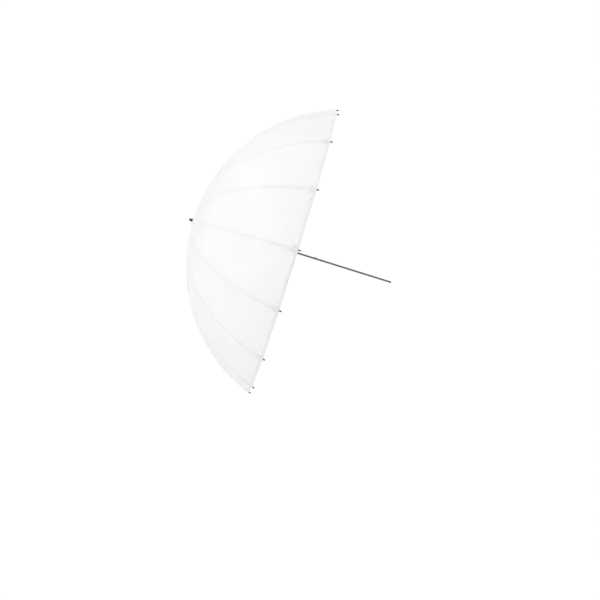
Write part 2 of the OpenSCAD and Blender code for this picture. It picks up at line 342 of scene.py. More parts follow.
def shell(name, outer, inner, weave, group, weave_left=None):
    """A closed thin sheet between two grids of points, rows first.

    weave holds each point's place on the flat cloth in metres. weave_left is the same for the
    columns left of the middle one, where two pieces of cloth are sewn together.
    """
    rows, columns = outer.shape[:2]
    count = rows * columns
    points = np.concatenate([outer.reshape(-1, 3), inner.reshape(-1, 3)])
    index = np.arange(count).reshape(rows, columns)
    a, b, c, d = index[:-1, :-1], index[1:, :-1], index[1:, 1:], index[:-1, 1:]
    top = np.stack([a, b, c, d], -1).reshape(-1, 4)
    faces = [top, top[:, ::-1] + count]
    rim = np.concatenate([index[0, :], index[1:, -1], index[-1, -2::-1], index[-2:0:-1, 0]])
    step_on = np.roll(rim, -1)
    faces.append(np.stack([rim, step_on, step_on + count, rim + count], -1))
    faces = np.concatenate(faces)
    mesh = bpy.data.meshes.new(name)
    mesh.from_pydata(points.tolist(), [], faces.tolist())
    flat = np.tile(weave.reshape(-1, 2), (2, 1))
    corner = faces.ravel()
    values = flat[corner]
    if weave_left is not None:
        other = np.tile(weave_left.reshape(-1, 2), (2, 1))
        column = (faces % count) % columns
        on_left = np.repeat(column.min(1) < columns // 2, 4)
        values = np.where(on_left[:, None], other[corner], values)
    layer = mesh.uv_layers.new(name="weave")
    layer.uv.foreach_set("vector", values.astype(np.float32).ravel())
    mesh.polygons.foreach_set("use_smooth", [True] * len(faces))
    mesh.update()
    return new_object(name, mesh, group)


# One stitch as a bead: two pointed ends and a three-sided middle
STITCH = np.array(
    [[-1, 0, 0], [-0.6, -1, 0], [-0.6, 0, 1], [-0.6, 1, 0],
     [0.6, -1, 0], [0.6, 0, 1], [0.6, 1, 0], [1, 0, 0]]
)
STITCH_FACES = [
    (0, 1, 2), (0, 2, 3), (0, 3, 1), (7, 5, 4), (7, 6, 5), (7, 4, 6),
    (1, 4, 5, 2), (2, 5, 6, 3), (3, 6, 4, 1),
]


def stitches(name, at, along_thread, outward, group):
    """One row of thread, a small three-sided bead for each stitch that shows."""
    s = bpy.context.scene.umbrella_canopy
    side = np.cross(outward, along_thread)
    size = np.array([s.stitch_pitch * 0.36, 0.35 * MM, 0.3 * MM])
    local = STITCH * size
    points = (
        at[:, None]
        + local[None, :, 0:1] * along_thread[:, None]
        + local[None, :, 1:2] * side[:, None]
        + local[None, :, 2:3] * outward[:, None]
    )
    faces = [tuple(k + len(STITCH) * n for k in f) for n in range(len(at)) for f in STITCH_FACES]
    mesh = bpy.data.meshes.new(name)
    mesh.from_pydata(points.reshape(-1, 3).tolist(), [], faces)
    mesh.uv_layers.new(name="weave")
    mesh.update()
    return new_object(name, mesh, group)


def unit(vectors):
    """The vectors at length one."""
    return vectors / np.linalg.norm(vectors, axis=-1, keepdims=True)


def only(*objects):
    """Selects these objects and nothing else, the first one active."""
    if bpy.context.object and bpy.context.object.mode != "OBJECT":
        bpy.ops.object.mode_set(mode="OBJECT")
    bpy.ops.object.select_all(action="DESELECT")
    for o in objects:
        o.select_set(True)
    bpy.context.view_layer.objects.active = objects[0]


@contextmanager
def edit_whole(obj):
    """Edit mode on one object with all of it selected, then back to object mode."""
    only(obj)
    bpy.ops.object.mode_set(mode="EDIT")
    bpy.ops.mesh.select_all(action="SELECT")
    yield
    bpy.ops.object.mode_set(mode="OBJECT")


def rough(name, points, edges, faces):
    """A new object from plain points, edges and faces, ready to be worked on."""
    mesh = bpy.data.meshes.new(name)
    mesh.from_pydata(points, edges, faces)
    obj = bpy.data.objects.new(name, mesh)
    bpy.context.scene.collection.objects.link(obj)
    return obj


def paint(obj, material):
    """Gives a piece that one material."""
    obj.data.materials.clear()
    obj.data.materials.append(material)
    return obj


def join(name, *objects):
    """Joins pieces into the first one, which keeps each one's material."""
    only(*objects)
    bpy.ops.object.join()
    objects[0].name = name
    objects[0].data.name = name
    return objects[0]


def file_under(obj, group):
    """Moves an object into the group's collection."""
    for c in list(obj.users_collection):
        c.objects.unlink(obj)
    collection_of(group).objects.link(obj)
    return obj


def placed(obj, matrix=None):
    """Puts an object's place, turn and size into its mesh, after a further move by matrix."""
    bpy.context.view_layer.update()
    obj.data.transform((matrix or Matrix()) @ obj.matrix_world)
    obj.matrix_world = Matrix()
    obj.data.update()
    return obj


def finished(obj, edge=0.0, sharp=30):
    """Breaks the edges of a piece with a bevel, and shades it smooth between its sharp edges."""
    only(obj)
    if edge:
        bevel = obj.modifiers.new("edge", "BEVEL")
        bevel.width = edge
        bevel.segments = 2
        bevel.limit_method = "ANGLE"
        bevel.angle_limit = math.radians(sharp)
        bevel.use_clamp_overlap = True
        bpy.ops.object.modifier_apply(modifier="edge")
    bpy.ops.object.shade_smooth_by_angle(angle=math.radians(sharp + 10))
    return obj


def turned(name, profile, steps=32):
    """A lathe part on the Z axis: the profile, (radius, height) points, spun all the way round."""
    edges = [(k, k + 1) for k in range(len(profile) - 1)]
    obj = rough(name, [(r, 0, z) for r, z in profile], edges, [])
    with edit_whole(obj):
        bpy.ops.mesh.spin(steps=steps, angle=math.tau, center=(0, 0, 0), axis=(0, 0, 1))
        bpy.ops.mesh.select_all(action="SELECT")
        bpy.ops.mesh.remove_doubles(threshold=0.02 * MM)
        bpy.ops.mesh.normals_make_consistent(inside=False)
    return obj


def plate(name, points, thickness):
    """A flat part in the XZ plane, cut to an outline and thickened evenly to both sides."""
    outline = [(x, thickness / 2, z) for x, z in points]
    obj = rough(name, outline, [], [list(range(len(points)))])
    with edit_whole(obj):
        bpy.ops.mesh.extrude_region_move(TRANSFORM_OT_translate={"value": (0, -thickness, 0)})
        bpy.ops.mesh.select_all(action="SELECT")
        bpy.ops.mesh.normals_make_consistent(inside=False)
    return obj


def round_bar(p, q, start_r, end_r, steps=8):
    """Outline of a flat bar with round ends from p to q."""
    lean = math.atan2(q[1] - p[1], q[0] - p[0])
    outline = []
    for centre, radius, base in ((p, start_r, math.pi / 2), (q, end_r, -math.pi / 2)):
        for k in range(steps + 1):
            a = lean + base + math.pi * k / steps
            outline.append((centre[0] + radius * math.cos(a), centre[1] + radius * math.sin(a)))
    return outline


def along_rib(angle, depth, start=0.0):
    """Matrix that stands +Z on the dome's tangent in rib 1's plane, at a depth under the cloth."""
    x, r = on_dome(angle, depth)
    move = Matrix.Translation((x, 0, r))
    return move @ Matrix.Rotation(angle, 4, "Y") @ Matrix.Translation((0, 0, start))


def at_rib(i):
    """Matrix that turns a piece made in the plane of rib 1 to rib i."""
    return Matrix.Rotation(-rib_angle(i), 4, "X")


def copies(model, name, group, body, node=None):
    """A copy of the model at every rib, riding on its body, each with its own mesh."""
    made = []
    for i in range(1, RIBS + 1):
        piece = new_object(f"{name}_{i}", model.data.copy(), group)
        piece.data.name = piece.name
        piece.data.transform(at_rib(i))
        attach(piece, f"{body}_{i}")
        if node:
            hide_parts(f"{node}_{i}")
        made.append(piece)
    bpy.data.objects.remove(model)
    return made


def softened(node, name, group, edge):
    """A copy of a CAD node, its flat faces merged and its edges broken, that stands in for it."""
    piece = new_object(name, frame["nodes"][node].data.copy(), group)
    with edit_whole(piece):
        bpy.ops.mesh.remove_doubles(threshold=0.01 * MM)
        bpy.ops.mesh.customdata_custom_splitnormals_clear()
        bpy.ops.mesh.select_all(action="SELECT")
        bpy.ops.mesh.dissolve_limited(angle_limit=math.radians(0.5))
    finished(piece, edge)
    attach(piece, body_of(frame["nodes"][node])[0])
    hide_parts(node)
    return piece


# ---- materials ----


def add_node(tree, kind, settings=(), inputs=()):
    """Adds a node, sets its properties, and fills its inputs with values or other outputs."""
    node = tree.nodes.new(kind)
    for name, value in dict(settings).items():
        setattr(node, name, value)
    for name, value in dict(inputs).items():
        if isinstance(value, bpy.types.NodeSocket):
            tree.links.new(value, node.inputs[name])
        else:
            node.inputs[name].default_value = value
    return node


def per(size):
    """Texture scale at which one repeat has that size in metres."""
    return 1 / size


def once(wire):
    """Makes a material on its first use, from a function that wires its shader, and keeps it."""

    @functools.wraps(wire)
    def made(name, *settings):
        material = bpy.data.materials.get(name)
        if material is None:
            material = bpy.data.materials.new(name)
            material.use_nodes = True
            tree = material.node_tree
            tree.nodes.clear()
            shader = wire(tree, *settings)
            add_node(tree, "ShaderNodeOutputMaterial", {}, {"Surface": shader.outputs[0]})
        return material

    return made


def shade(colour, factor):
    """A colour made lighter or darker, opaque."""
    return [min(1.0, c * factor) for c in colour] + [1.0]


def tone(tree, where, size, low, high, detail=2.0):
    """Soft cloudy change between two colours, over patches of that size."""
    noise = add_node(tree, "ShaderNodeTexNoise", {},
        {"Vector": where, "Scale": per(size), "Detail": detail})
    ramp = add_node(tree, "ShaderNodeValToRGB", {}, {"Fac": noise.outputs["Fac"]})
    ramp.color_ramp.elements[0].position = 0.3
    ramp.color_ramp.elements[1].position = 0.7
    ramp.color_ramp.elements[0].color = low
    ramp.color_ramp.elements[1].color = high
    return ramp.outputs["Color"], noise.outputs["Fac"]


@once
def woven_nylon(tree, through):
    """Nylon taffeta, plain woven and heat set: white, softly lit from behind, faintly threaded.

    through is the share of the light that goes through the cloth and not back from it.
    """
    colour = bpy.context.scene.umbrella_canopy.colour
    weave = add_node(tree, "ShaderNodeUVMap", {"uv_map": "weave"}).outputs["UV"]
    place = add_node(tree, "ShaderNodeTexCoord").outputs["Object"]
    # real threads lie 0.25 mm apart, too fine to show, so they are drawn 1 mm apart
    thread = 1 * MM
    # the wave texture takes the sine of twenty times the place: a band is a twentieth of a turn
    bands = {"Scale": per(thread) * math.tau / 20, "Distortion": 0.0, "Vector": weave}
    warp = add_node(tree, "ShaderNodeTexWave", {"bands_direction": "X"}, bands)
    weft = add_node(tree, "ShaderNodeTexWave", {"bands_direction": "Y"}, bands)
    threads = add_node(tree, "ShaderNodeMath", {"operation": "MULTIPLY"},
        {0: warp.outputs["Fac"], 1: weft.outputs["Fac"]})
    cloudy, _ = tone(tree, place, 70 * MM, shade(colour, 0.985), shade(colour, 1.0))
    slub = add_node(tree, "ShaderNodeMapping", {},
        {"Vector": weave, "Scale": (per(3 * MM), per(60 * MM), 1.0)})
    streak = add_node(tree, "ShaderNodeTexNoise", {},
        {"Vector": slub.outputs["Vector"], "Scale": 1.0, "Detail": 1.0})
    relief = add_node(tree, "ShaderNodeMath", {"operation": "MULTIPLY_ADD"},
        {0: streak.outputs["Fac"], 1: 0.6, 2: threads.outputs[0]})
    bump = add_node(tree, "ShaderNodeBump", {},
        {"Strength": 0.25, "Distance": 0.08 * MM, "Height": relief.outputs[0]})
    skin = add_node(tree, "ShaderNodeBsdfPrincipled", {},
        {"Base Color": cloudy, "Roughness": 0.62, "IOR": 1.53, "Specular IOR Level": 0.35,
         "Sheen Weight": 0.15, "Sheen Roughness": 0.4, "Normal": bump.outputs["Normal"]})
    glow = add_node(tree, "ShaderNodeBsdfTranslucent", {},
        {"Color": cloudy, "Normal": bump.outputs["Normal"]})
    mix = add_node(tree, "ShaderNodeMixShader", {},
        {"Fac": through, 1: skin.outputs[0], 2: glow.outputs[0]})
    return mix


@once
def spun_polyester(tree):
    """Spun polyester thread: a little greyer and duller than the cloth, with a fine twist."""
    place = add_node(tree, "ShaderNodeTexCoord").outputs["Object"]
    white = linear("F4F4F2")
    cloudy, height = tone(tree, place, 1.2 * MM, shade(white, 0.86), shade(white, 1.0))
    bump = add_node(tree, "ShaderNodeBump", {},
        {"Strength": 0.4, "Distance": 0.1 * MM, "Height": height})
    skin = add_node(tree, "ShaderNodeBsdfPrincipled", {},
        {"Base Color": cloudy, "Roughness": 0.75, "Normal": bump.outputs["Normal"]})
    return skin


@once
def moulded(tree, colour, roughness, grain, ior=1.53):
    """Injection-moulded plastic: even colour, faint flow clouds, and the mould's spark grain."""
    place = add_node(tree, "ShaderNodeTexCoord").outputs["Object"]
    cloudy, _ = tone(tree, place, 9 * MM, shade(colour, 0.86), shade(colour, 1.08))
    spark = add_node(tree, "ShaderNodeTexNoise", {},
        {"Vector": place, "Scale": per(grain), "Detail": 3.0, "Roughness": 0.6})
    gloss = add_node(tree, "ShaderNodeMapRange", {},
        {"Value": spark.outputs["Fac"], "To Min": roughness - 0.06, "To Max": roughness + 0.08})
    bump = add_node(tree, "ShaderNodeBump", {},
        {"Strength": 0.3, "Distance": 0.05 * MM, "Height": spark.outputs["Fac"]})
    skin = add_node(tree, "ShaderNodeBsdfPrincipled", {},
        {"Base Color": cloudy, "Roughness": gloss.outputs[0], "IOR": ior,
         "Normal": bump.outputs["Normal"]})
    return skin


def black_abs():
    """ABS, moulded with a fine matt grain: soft dark grey, brighter on its edges."""
    return moulded("black_abs", bpy.context.scene.umbrella_fittings.plastic_colour, 0.42, 0.5 * MM)


def glass_filled_nylon():
    """Nylon with glass fibre, moulded: near black and dull, with the fibres' faint fleck."""
    colour = bpy.context.scene.umbrella_fittings.hub_colour
    return moulded("glass_filled_nylon", colour, 0.5, 0.8 * MM)


def polyethylene():
    """Low-density polyethylene, stamped from sheet: milky white and waxy."""
    return moulded("stamped_polyethylene", linear("E9EAEA"), 0.38, 1.2 * MM, 1.51)


@once
def plated(tree, colour, roughness, cloud, scratch, strength):
    """Plated steel: a metal mirror broken by faint handling marks, and dulled in small clouds."""
    place = add_node(tree, "ShaderNodeTexCoord").outputs["Object"]
    cloudy, dull = tone(tree, place, cloud, shade(colour, 0.9), shade(colour, 1.0))
    gloss = add_node(tree, "ShaderNodeMapRange", {},
        {"Value": dull, "To Min": roughness * 0.7, "To Max": roughness * 1.4})
    # drawn along the shaft's axis, as the runner rubs it
    rub = add_node(tree, "ShaderNodeMapping", {},
        {"Vector": place, "Scale": (per(30 * MM), per(scratch), per(scratch))})
    marks = add_node(tree, "ShaderNodeTexNoise", {},
        {"Vector": rub.outputs["Vector"], "Scale": 1.0, "Detail": 4.0})
    bump = add_node(tree, "ShaderNodeBump", {},
        {"Strength": strength, "Distance": 0.02 * MM, "Height": marks.outputs["Fac"]})
    skin = add_node(tree, "ShaderNodeBsdfPrincipled", {},
        {"Base Color": cloudy, "Metallic": 1.0, "Roughness": gloss.outputs[0],
         "Normal": bump.outputs["Normal"]})
    return skin


def chrome_plate():
    """Bright chromium over nickel on drawn steel tube: a clear dark mirror with fine rub marks."""
    return plated("chrome_plated_steel", linear("C9CCD0"), 0.09, 40 * MM, 0.5 * MM, 0.03)


def zinc_plate():
    """Zinc-plated pressed steel: softer, greyer, with the plating's cloudy bloom."""
    return plated("zinc_plated_steel", linear("B4B7BA"), 0.3, 4 * MM, 0.8 * MM, 0.3)


def spring_wire():
    """Drawn spring steel, oil hardened: grey and smooth, with faint draw lines."""
    return plated("drawn_spring_steel", linear("9EA1A4"), 0.24, 3 * MM, 0.4 * MM, 0.25)


@once
def pultruded_rod(tree):
    """Pultruded glass fibre in polyester resin: off-white, with fine streaks along the rod."""
    colour = bpy.context.scene.umbrella_fittings.rod_colour
    weave = add_node(tree, "ShaderNodeUVMap", {"uv_map": "weave"}).outputs["UV"]
    # fibre bundles are 0.4 mm wide and run on for about 50 mm
    rove = add_node(tree, "ShaderNodeMapping", {},
        {"Vector": weave, "Scale": (per(0.4 * MM), per(50 * MM), 1.0)})
    low, high = shade(colour, 0.84), shade(colour, 1.0)
    streak, height = tone(tree, rove.outputs["Vector"], 1.0, low, high, 3.0)
    bump = add_node(tree, "ShaderNodeBump", {},
        {"Strength": 0.25, "Distance": 0.05 * MM, "Height": height})
    skin = add_node(tree, "ShaderNodeBsdfPrincipled", {},
        {"Base Color": streak, "Roughness": 0.36, "IOR": 1.56, "Normal": bump.outputs["Normal"]})
    return skin


@once
def backdrop_paper(tree):
    """Matt backdrop paper, rolled out as a floor, which fades into the surround at its edge."""
    s = bpy.context.scene.umbrella_stage
    place = add_node(tree, "ShaderNodeTexCoord").outputs["Object"]
    flat = add_node(tree, "ShaderNodeVectorMath", {"operation": "MULTIPLY"},
        {0: place, 1: (1.0, 1.0, 0.0)})
    away = add_node(tree, "ShaderNodeVectorMath", {"operation": "LENGTH"}, {0: flat.outputs[0]})
    fade = add_node(tree, "ShaderNodeMapRange", {"interpolation_type": "SMOOTHSTEP"},
        {"Value": away.outputs["Value"], "From Min": s.floor_radius * 0.45,
         "From Max": s.floor_radius * 0.97})
    fibre, _ = tone(
        tree, place, 30 * MM, shade(s.floor_colour, 0.985), shade(s.floor_colour, 1.0)
    )
    matt = add_node(tree, "ShaderNodeBsdfDiffuse", {}, {"Color": fibre})
    clear = add_node(tree, "ShaderNodeBsdfTransparent")
    mix = add_node(tree, "ShaderNodeMixShader", {},
        {"Fac": fade.outputs[0], 1: matt.outputs[0], 2: clear.outputs[0]})
    return mix


# ---- operators: the cloth ----


def fold_with_rib(piece, i):
    """Lets a piece of cloth ride on rib i, with a mesh of its own."""
    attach(piece, f"rib_{i}")
    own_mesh(piece)
    return piece


class UMBRELLA_OT_seams(bpy.types.Operator):
    """Sews the felled seam over each rib, with its two rows of stitches"""

    bl_idname = "umbrella.seams"
    bl_label = "Seams"

    def execute(self, context):
        s = context.scene.umbrella_canopy
        doubled = woven_nylon("nylon_taffeta_doubled", 0.15)
        first = 5 * MM / ARC_LENGTH
        along = np.linspace(first, 1.0, s.rows)[:, None]
        # a felled seam: rounded folds at both edges, drawn down along each row of stitches
        place = np.array([-1, -0.93, -0.8, -0.6, -0.35, 0, 0.35, 0.6, 0.8, 0.93, 1])[None, :]
        rise = np.array([0, 0.8, 1, 0.62, 0.9, 1, 0.9, 0.62, 1, 0.8, 0])[None, :]
        half = np.minimum(s.seam_width / 2, SEAM_SHARE * gore_width(along))
        for i in range(1, RIBS + 1):
            offset = place * half * (1 + 0.03 * np.sin(along * ARC_LENGTH / SEAM_WOBBLE + i))
            swell = 1 + 0.15 * np.sin(along * ARC_LENGTH / PUCKER + 2 * i)
            lift = s.seam_height * rise * swell
            outer = beside_rib(i, offset, along, -lift - 0.02 * MM)
            inner = beside_rib(i, offset, along, 0.1 * MM)
            flat = np.stack([offset, along * ARC_LENGTH + 0 * offset], -1)
            seam = paint(shell(f"seam_{i}", outer, inner, flat, "cloth"), doubled)
            rows = []
            count = int(ARC_LENGTH * (1 - first) / s.stitch_pitch)
            at = np.linspace(first + 0.01, 0.985, count)
            wide = np.minimum(s.seam_width / 2, SEAM_SHARE * gore_width(at))
            for side in (-STITCH_PLACE, STITCH_PLACE):
                here = beside_rib(i, side * wide, at, -STITCH_RISE * s.seam_height)
                nxt = beside_rib(i, side * wide, at + 0.001, -STITCH_RISE * s.seam_height)
                out = unit(here - beside_rib(i, side * wide, at, 2 * MM))
                rows.append(stitches("thread", here, unit(nxt - here), out, "cloth"))
                paint(rows[-1], spun_polyester("spun_polyester_thread"))
            fold_with_rib(join(f"seam_{i}", seam, *rows), i)
        return {"FINISHED"}


class UMBRELLA_OT_hems(bpy.types.Operator):
    """Turns the hem along the rim and adds the corner pocket that each tip sits in"""

    bl_idname = "umbrella.hems"
    bl_label = "Hems"

    def execute(self, context):
        s = context.scene.umbrella_canopy
        doubled = woven_nylon("nylon_taffeta_doubled", 0.15)
        width = s.hem_width / ARC_LENGTH
        # from the hem's inner edge to just past the rim, where the fold closes
        steps = np.array([0, 0.06, 0.16, 0.24, 0.34, 0.6, 0.85, 0.97, 1.03])
        rise = np.array([0.05, 0.9, 1, 0.55, 1, 1, 1, 0.8, 0.2])[:, None]
        along = (1 - width + width * steps)[:, None]
        t = np.linspace(-1, 1, 4 * s.columns + 1)[None, :]
        half_rim = gore_width(1.0) / 2
        for i in range(1, RIBS + 1):
            puff = 1 + 0.15 * np.sin(t * half_rim / PUCKER + i) * (1 - t**2)
            # the fold on the outside is thin; the turned edge on the inside is two layers
            outer = beside_rib(i, t * gore_width(along) / 2, along, -0.25 * MM * rise * puff)
            under = s.thickness + 0.55 * MM * rise * puff
            inner = beside_rib(i, t * gore_width(along) / 2, along, under)
            flat = np.stack([t * half_rim + 0 * along, along * ARC_LENGTH + 0 * t], -1)
            parts = [paint(shell(f"hem_{i}", outer, inner, flat, "cloth"), doubled)]
            parts.append(paint(self.pocket(i, s), doubled))
            count = int(2 * half_rim / s.stitch_pitch)
            at = (np.arange(count) + 0.5) / count * 2 - 1
            level = np.full(count, 1 - width * 0.76)
            offset = at * gore_width(level) / 2
            for depth, deeper in ((-0.14 * MM, 2 * MM), (s.thickness + 0.32 * MM, -2 * MM)):
                here = beside_rib(i, offset, level, depth)
                nxt = beside_rib(i, offset + 0.5 * MM, level, depth)
                out = unit(here - beside_rib(i, offset, level, depth + deeper))
                parts.append(stitches("thread", here, unit(nxt - here), out, "cloth"))
                paint(parts[-1], spun_polyester("spun_polyester_thread"))
            fold_with_rib(join(f"hem_{i}", *parts), i)
        return {"FINISHED"}

    def pocket(self, i, s):
        """Patch of cloth inside the corner, sewn at its sides and bulging over the rod's end."""
        across = np.linspace(-1, 1, 25)[None, :]
        down = np.linspace(0, 1, 15)[:, None]
        reach, half = 26 * MM, 10 * MM
        # the inner end is rounded like a tongue
        round_end = np.sqrt(np.clip(1 - (1 - np.minimum(down * 2.2, 1)) ** 2, 0, 1)) * 0.85 + 0.15
        offset = across * half * round_end
        along = 1 - reach * (1 - down) / ARC_LENGTH + 0 * across
        clear = ROD_DEPTH + bpy.context.scene.umbrella_fittings.rod / 2 + 0.25 * MM
        bulge = np.exp(-((np.abs(offset) / (3.1 * MM)) ** 2.6))
        low = s.thickness + 0.35 * MM
        depth = low + (clear - low) * bulge
        inner = beside_rib(i, offset, along, depth + 0.35 * MM)
        outer = beside_rib(i, offset, along, depth)
        flat = np.stack([offset, along * ARC_LENGTH], -1)
        return shell(f"pocket_{i}", outer, inner, flat, "cloth")


class UMBRELLA_OT_canopy(bpy.types.Operator):
    """Stretches the cloth over the ribs, one panel from mid-gore to mid-gore round each rib"""

    bl_idname = "umbrella.canopy"
    bl_label = "Canopy cloth"

    def execute(self, context):
        s = context.scene.umbrella_canopy
        single = woven_nylon("nylon_taffeta", 0.52)
        share = (np.arange(s.columns + 1) / s.columns) ** 1.35 / 2
        along = np.linspace(0, 1, s.rows + 1)[:, None]
        half = gore_width(along) / 2
        for i in range(1, RIBS + 1):
            right = share[None, :]
            left = 1 - share[None, :0:-1]
            outer, inner = (
                np.concatenate(
                    [cloth_point(i - 1, left, along, d), cloth_point(i, right, along, d)], 1
                )
                for d in (0.0, s.thickness)
            )
            run = along * ARC_LENGTH
            # place on the flat cloth: across from the gore's own middle, and down from the apex
            ahead = (np.concatenate([left - 1, right], 1) * 2 - 1) * half
            behind = (np.concatenate([left, right + 1], 1) * 2 - 1) * half
            weave = np.stack([ahead, run + 0 * ahead], -1)
            weave_left = np.stack([behind, run + 0 * behind], -1)
            cloth = paint(shell(f"cloth_{i}", outer, inner, weave, "cloth", weave_left), single)
            self.set_normals(cloth, i, left, right, along)
            fold_with_rib(cloth, i)
            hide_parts(f"panel_{i}")
        return {"FINISHED"}

    def flat_area(self):
        """Area of one panel's cut: the gore's width summed along the arc."""
        steps = np.linspace(0, 1, 201)
        wide = gore_width(steps)
        return float(np.sum((wide[1:] + wide[:-1]) / 2) / 200 * ARC_LENGTH)

    def set_normals(self, cloth, i, left, right, along):
        """Takes the shading from the surface's slope, so that it runs on into the next panel."""
        before = cloth_normal(i - 1, left, along)
        after = cloth_normal(i, right, along)
        after[:, 0] = unit(after[:, 0] + cloth_normal(i - 1, np.ones((1, 1)), along)[:, 0])
        normals = np.concatenate([before, after], 1).reshape(-1, 3)
        # the grid's first half is the outer face, the second the inner one
        both = np.concatenate([normals, -normals]).tolist()
        cloth.data.normals_split_custom_set_from_vertices(both)


# ---- operators: ribs and stretchers ----


class UMBRELLA_OT_ribs(bpy.types.Operator):
    """Bends a glass-fibre rod for each rib, with its root, its stretcher bracket and its tip"""

    bl_idname = "umbrella.ribs"
    bl_label = "Ribs"

    def execute(self, context):
        s = context.scene.umbrella_fittings
        rod = paint(self.rod(s), pultruded_rod("pultruded_glass_fibre"))
        parts = [paint(p, zinc_plate()) for p in self.root(s)]
        parts += [paint(p, black_abs()) for p in self.bracket(s)]
        pivot = on_dome(PIVOT_ANGLE, PIVOT_DEPTH)
        pin = turned("pin", self.pin_profile(0.95 * MM, 5.2 * MM), 16)
        lie_across = Matrix.Rotation(math.pi / 2, 4, "X")
        placed(pin, Matrix.Translation((pivot[0], 0, pivot[1])) @ lie_across)
        parts.append(paint(finished(pin), zinc_plate()))
        model = join("rod", rod, *parts)
        for piece in copies(model, "rod", "ribs", "rib", "rib"):
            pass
        tip = paint(self.tip(s), black_abs())
        for piece in copies(tip, "tip", "ribs", "rib"):
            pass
        return {"FINISHED"}

    def rod(self, s):
        """A circle at the crown end, spun along the dome's arc to the tip."""
        start = math.asin(22 * MM / DOME_R)
        end = RIM_ANGLE + 3 * MM / DOME_R
        x, r = on_dome(start, ROD_DEPTH)
        sides, steps = 16, 56
        bpy.ops.mesh.primitive_circle_add(
            vertices=sides, radius=s.rod / 2, location=(x, 0, r), rotation=(0, start, 0)
        )
        rod = placed(bpy.context.object)
        rod.name = "rod"
        with edit_whole(rod):
            bpy.ops.mesh.spin(steps=steps, angle=start - end, center=(DOME_X, 0, 0), axis=(0, 1, 0))
            bpy.ops.mesh.select_all(action="SELECT")
            bpy.ops.mesh.fill_holes(sides=sides)
            bpy.ops.mesh.normals_make_consistent(inside=False)
        self.lay_fibres(rod, start)
        return finished(rod, sharp=50)

    def lay_fibres(self, rod, start):
        """Rolls the rod out flat for its streaks: round it, then along it, in metres."""
        layer = rod.data.uv_layers.get("weave") or rod.data.uv_layers.new(name="weave")
        for loop in rod.data.loops:
            p = rod.data.vertices[loop.vertex_index].co
            arm = math.hypot(p.x - DOME_X, p.z)
            angle = math.atan2(p.z, DOME_X - p.x)
            around = math.atan2(p.y, arm - (DOME_R - ROD_DEPTH))
            layer.uv[loop.index].vector = (abs(around) * 1.5 * MM, (angle - start) * DOME_R)

    def root(self, s):
        """Sleeve crimped on the rod, and the flat tongue that turns on the crown's ring."""
        angle = math.asin(18 * MM / DOME_R)
        half = s.sleeve / 2
        crimp = half - 0.25 * MM
        sleeve = turned(
            "sleeve",
            [(0, 0), (half - 0.6 * MM, 0), (half, 0.6 * MM), (half, 5 * MM), (crimp, 5.6 * MM),
             (crimp, 6.6 * MM), (half, 7.2 * MM), (half, 9.5 * MM), (crimp, 10.1 * MM),
             (crimp, 11.1 * MM), (half, 11.7 * MM), (half, 14.7 * MM), (half - 0.3 * MM, 15 * MM),
             (s.rod / 2, 15 * MM)],
            24,
        )
        placed(sleeve, along_rib(angle, ROD_DEPTH))
        start = on_dome(angle, ROD_DEPTH)
        tongue = plate(
            "tongue",
            round_bar((CROWN_RING_X, RING_R), (start[0], start[1] + 2 * MM), 2.2 * MM, 1.7 * MM),
            1.8 * MM,
        )
        return [finished(sleeve), finished(tongue, 0.2 * MM)]

    def bracket(self, s):
        """Moulded clip round the rod, with the leg that the stretcher's fork holds."""
        half = s.sleeve / 2
        sleeve = turned(
            "clip",
            [(s.rod / 2, -7 * MM), (half - 0.4 * MM, -7 * MM), (half, -6.6 * MM), (half, -4.4 * MM),
             (half - 0.3 * MM, -4.1 * MM), (half - 0.3 * MM, 4.1 * MM), (half, 4.4 * MM),
             (half, 6.6 * MM), (half - 0.4 * MM, 7 * MM), (s.rod / 2, 7 * MM)],
            24,
        )
        placed(sleeve, along_rib(PIVOT_ANGLE, ROD_DEPTH))
        top = on_dome(PIVOT_ANGLE, ROD_DEPTH)
        pivot = on_dome(PIVOT_ANGLE, PIVOT_DEPTH)
        leg = plate("leg", round_bar(top, pivot, 3 * MM, 3 * MM, 10), 5 * MM)
        return [finished(sleeve), finished(leg, s.edge)]

    def pin_profile(self, radius, span):
        """A straight pin with domed ends."""
        half = span / 2
        ends = [
            (radius * math.sin(a), half - radius / 3 * (1 - math.cos(a)))
            for a in (0, 0.6, 1.1, 1.57)
        ]
        return [(r, -z) for r, z in ends] + [(r, z) for r, z in reversed(ends)]

    def tip(self, s):
        """Moulded tip: a short socket with a groove, and a ball end."""
        half = s.tip / 2
        ball = [
            (half * math.cos(a), 4.4 * MM + half * math.sin(a))
            for a in np.linspace(0, math.pi / 2, 8)[1:]
        ]
        profile = [(s.rod / 2, 0.4 * MM), (half - 0.3 * MM, 0.4 * MM), (half, 0.7 * MM),
                   (half, 1.6 * MM), (half - 0.4 * MM, 2.0 * MM), (half - 0.4 * MM, 3.0 * MM),
                   (half, 3.5 * MM),
                   (half, 4.4 * MM)] + [(max(r, 0.0), z) for r, z in ball]
        tip = turned("tip", profile, 24)
        placed(tip, along_rib(RIM_ANGLE, ROD_DEPTH))
        return finished(tip)


